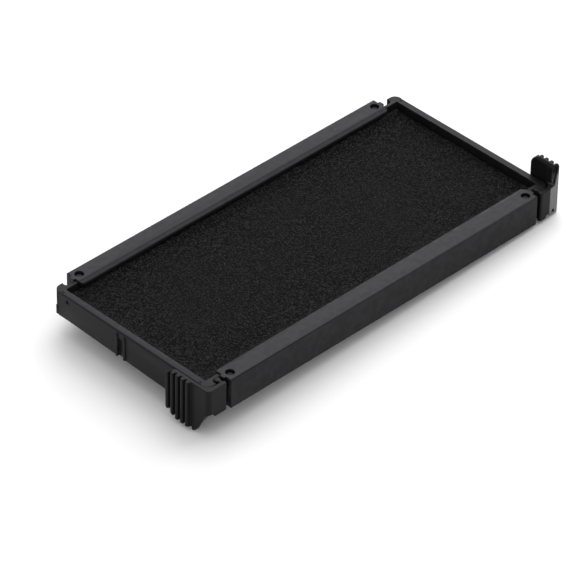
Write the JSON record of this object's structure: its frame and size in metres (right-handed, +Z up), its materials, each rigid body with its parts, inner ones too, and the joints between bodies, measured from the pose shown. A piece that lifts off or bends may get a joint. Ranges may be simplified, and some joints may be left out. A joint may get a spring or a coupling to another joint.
{
  "type": "ink pad",
  "caption": "Flat rectangular ink pad cartridge: black felt in a shallow tray under two clip-on rails, with a ribbed finger grip swinging at each near corner.",
  "frame": {"origin": "centre of the tray's flat underside", "axes": "+X along the pad's long side, +Y across it away from the two grips, +Z up through the felt"},
  "size_m": [0.1058, 0.0496, 0.0169],
  "materials": {
    "tray_plastic": "satin black moulded plastic",
    "rail_plastic": "satin black moulded plastic, slightly smoother than the tray",
    "grip_plastic": "satin black moulded plastic, ribbed for the fingers",
    "pin_plastic": "smooth dark plastic",
    "ink_felt": "ink-soaked black felt, fine grain with small damp glints",
    "ink_foam": "open-cell foam soaked in black ink"
  },
  "bodies": {
    "pad": {"tray": "tray_plastic", "near_rail": "rail_plastic", "far_rail": "rail_plastic", "pin_near_left": "pin_plastic", "pin_near_right": "pin_plastic", "pin_far_right": "pin_plastic", "pin_far_left": "pin_plastic", "ink_core": "ink_foam", "ink_cloth": "ink_felt"},
    "left_grip": {"left_grip": "grip_plastic"},
    "right_grip": {"right_grip": "grip_plastic"}
  },
  "joints": [
    {"name": "left_grip_swing", "type": "hinge", "parent": "pad", "child": "left_grip", "pos_m": [-0.0475, -0.0226, 0], "axis": [0, 0, 1], "range_deg": [0, 18]},
    {"name": "right_grip_swing", "type": "hinge", "parent": "pad", "child": "right_grip", "pos_m": [0.0475, -0.0226, 0], "axis": [0, 0, -1], "range_deg": [0, 18]}
  ]
}
